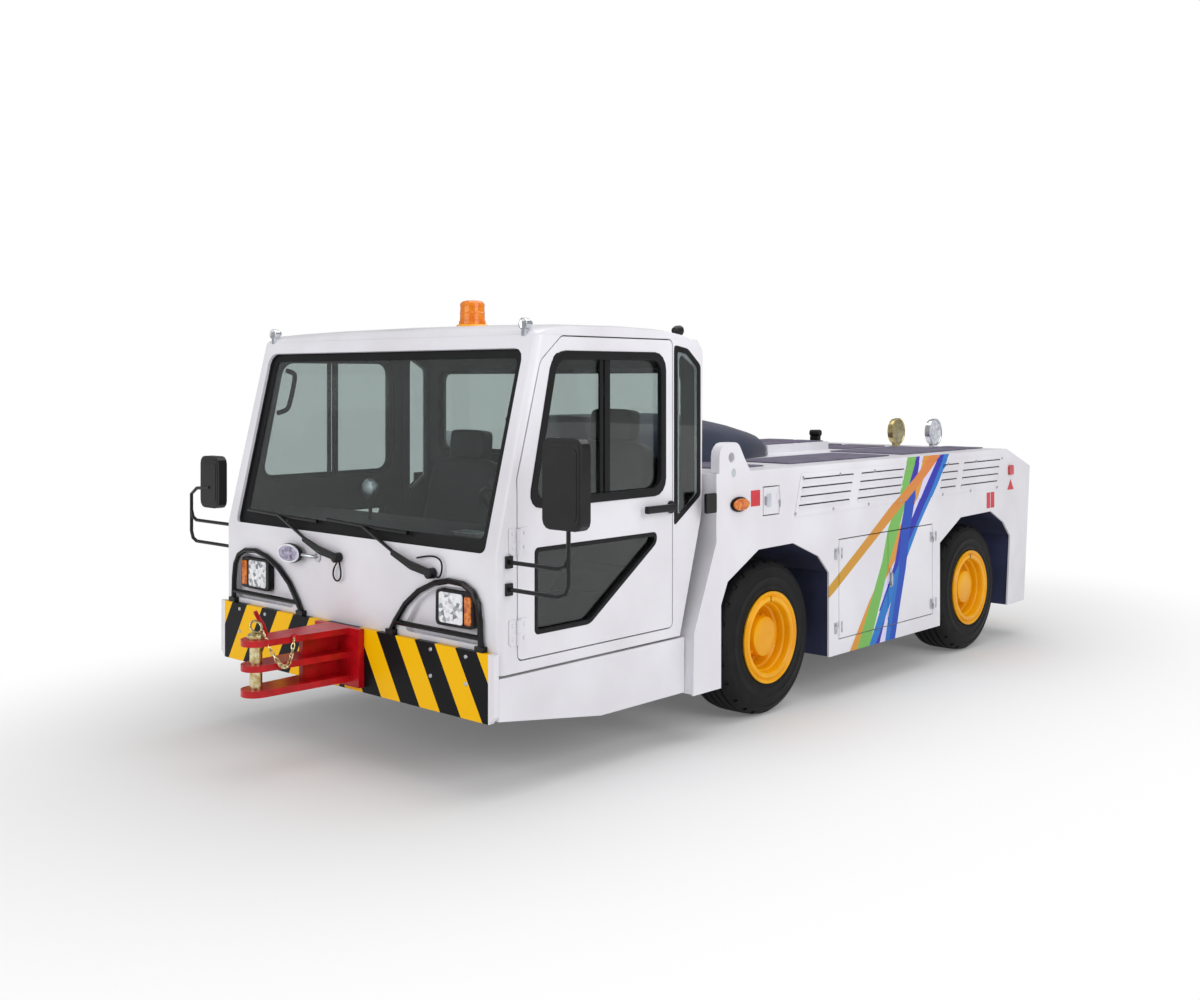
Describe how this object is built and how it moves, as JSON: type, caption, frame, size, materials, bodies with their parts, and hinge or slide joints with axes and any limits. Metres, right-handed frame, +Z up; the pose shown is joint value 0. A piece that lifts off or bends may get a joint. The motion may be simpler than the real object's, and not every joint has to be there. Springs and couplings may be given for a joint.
{
  "type": "airport baggage tug",
  "caption": "Battery-electric airport tow tractor: hard two-seat cab ahead of a low flat deck, striped bumper, front and rear pin hitches, steered front wheels.",
  "frame": {"origin": "on the ground, in the middle of the whole outline in plan", "axes": "+Z up, -Y towards the front of the vehicle, +X towards its left side"},
  "size_m": [2.4897, 5.1116, 1.8586],
  "materials": {
    "white_paint": "gloss white enamel",
    "yellow_paint": "yellow enamel",
    "rubber": "matt tyre rubber",
    "red_paint": "red enamel",
    "striped_paint": "yellow enamel with black warning stripes",
    "zinc_plate": "yellow passivated zinc",
    "chassis_paint": "dark blue-grey chassis paint",
    "battery_casing": "plain black casing",
    "black_plastic": "black moulded plastic",
    "black_paint": "gloss black powder coat",
    "grey_plastic": "dark blue-grey moulding",
    "seat_vinyl": "black vinyl",
    "tinted_glass": "tinted safety glass",
    "lamp_glass": "clear lamp lens",
    "amber_glass": "amber lens",
    "brass": "polished brass",
    "chrome": "chrome plate"
  },
  "bodies": {
    "vehicle": {"battery_pack": "battery_casing", "beacon": "amber_glass", "cab_body": "white_paint", "cab_roof": "white_paint", "chassis_frame": "chassis_paint", "dashboard": "black_plastic", "deck_lamp_inner": "brass", "deck_lamp_outer": "chrome", "driver_seat": "seat_vinyl", "front_axle": "chassis_paint", "front_bumper": "striped_paint", "front_hitch": "red_paint", "front_hitch_pin": "zinc_plate", "headlamp_guard_left": "black_paint", "headlamp_guard_right": "black_paint", "headlamp_left": "lamp_glass", "headlamp_right": "lamp_glass", "mirror_left": "black_plastic", "mirror_right": "black_plastic", "passenger_seat": "seat_vinyl", "quarter_light_left": "tinted_glass", "quarter_light_right": "tinted_glass", "rear_axle": "chassis_paint", "rear_body": "white_paint", "rear_bumper": "striped_paint", "rear_hitch": "red_paint", "rear_hitch_pin": "zinc_plate", "rear_hood": "grey_plastic", "rear_window": "tinted_glass", "side_panel_left": "white_paint", "side_panel_right": "white_paint", "side_skirt_left": "white_paint", "side_skirt_right": "white_paint", "steering_wheel": "black_plastic", "wheel_houses_front": "chassis_paint", "wheel_houses_rear": "chassis_paint", "windscreen": "tinted_glass", "wiper_left": "black_plastic", "wiper_middle": "black_plastic"},
    "front_wheel_left": {"tyre_front_left": "rubber", "rim_front_left": "yellow_paint"},
    "front_wheel_right": {"tyre_front_right": "rubber", "rim_front_right": "yellow_paint"},
    "rear_wheel_left": {"tyre_rear_left": "rubber", "rim_rear_left": "yellow_paint"},
    "rear_wheel_right": {"tyre_rear_right": "rubber", "rim_rear_right": "yellow_paint"},
    "steering_knuckle_left": {"knuckle_left": "chassis_paint"},
    "cab_door_left": {"cab_door_left": "white_paint", "door_window_left": "tinted_glass", "door_light_left": "tinted_glass"},
    "access_door_front_left": {"access_door_front_left": "white_paint"},
    "access_door_rear_left": {"access_door_rear_left": "white_paint"},
    "steering_knuckle_right": {"knuckle_right": "chassis_paint"},
    "cab_door_right": {"cab_door_right": "white_paint", "door_window_right": "tinted_glass", "door_light_right": "tinted_glass"},
    "access_door_front_right": {"access_door_front_right": "white_paint"},
    "access_door_rear_right": {"access_door_rear_right": "white_paint"},
    "charging_flap": {"charging_flap": "white_paint"}
  },
  "joints": [
    {"name": "steering_left", "type": "hinge", "parent": "vehicle", "child": "steering_knuckle_left", "pos_m": [0.64, -0.3675, 0.3513], "axis": [0, 0, 1], "range_deg": [-35, 35]},
    {"name": "front_wheel_left_roll", "type": "hinge", "parent": "steering_knuckle_left", "child": "front_wheel_left", "pos_m": [0.757, -0.3675, 0.3513], "axis": [1, 0, 0], "continuous": true},
    {"name": "rear_wheel_left_roll", "type": "hinge", "parent": "vehicle", "child": "rear_wheel_left", "pos_m": [0.757, 1.6005, 0.3513], "axis": [1, 0, 0], "continuous": true},
    {"name": "cab_door_left_hinge", "type": "hinge", "parent": "vehicle", "child": "cab_door_left", "pos_m": [0.885, -1.9775, 1], "axis": [0, 0, -1], "range_deg": [0, 70]},
    {"name": "access_door_front_left_hinge", "type": "hinge", "parent": "vehicle", "child": "access_door_front_left", "pos_m": [0.926, 0.1485, 0.5115], "axis": [0, 0, -1], "range_deg": [0, 110]},
    {"name": "access_door_rear_left_hinge", "type": "hinge", "parent": "vehicle", "child": "access_door_rear_left", "pos_m": [0.926, 1.0875, 0.5115], "axis": [0, 0, 1], "range_deg": [0, 110]},
    {"name": "steering_right", "type": "hinge", "parent": "vehicle", "child": "steering_knuckle_right", "pos_m": [-0.64, -0.3675, 0.3513], "axis": [0, 0, 1], "range_deg": [-35, 35]},
    {"name": "front_wheel_right_roll", "type": "hinge", "parent": "steering_knuckle_right", "child": "front_wheel_right", "pos_m": [-0.757, -0.3675, 0.3513], "axis": [1, 0, 0], "continuous": true},
    {"name": "rear_wheel_right_roll", "type": "hinge", "parent": "vehicle", "child": "rear_wheel_right", "pos_m": [-0.757, 1.6005, 0.3513], "axis": [1, 0, 0], "continuous": true},
    {"name": "cab_door_right_hinge", "type": "hinge", "parent": "vehicle", "child": "cab_door_right", "pos_m": [-0.885, -1.9775, 1], "axis": [0, 0, 1], "range_deg": [0, 70]},
    {"name": "access_door_front_right_hinge", "type": "hinge", "parent": "vehicle", "child": "access_door_front_right", "pos_m": [-0.926, 0.1485, 0.5115], "axis": [0, 0, 1], "range_deg": [0, 110]},
    {"name": "access_door_rear_right_hinge", "type": "hinge", "parent": "vehicle", "child": "access_door_rear_right", "pos_m": [-0.926, 1.0875, 0.5115], "axis": [0, 0, -1], "range_deg": [0, 110]},
    {"name": "charging_flap_hinge", "type": "hinge", "parent": "vehicle", "child": "charging_flap", "pos_m": [0.926, -0.3545, 0.9725], "axis": [0, 0, 1], "range_deg": [0, 110]}
  ],
  "couplings": [
    {"joint": "steering_right", "follows": "steering_left", "ratio": 1}
  ]
}
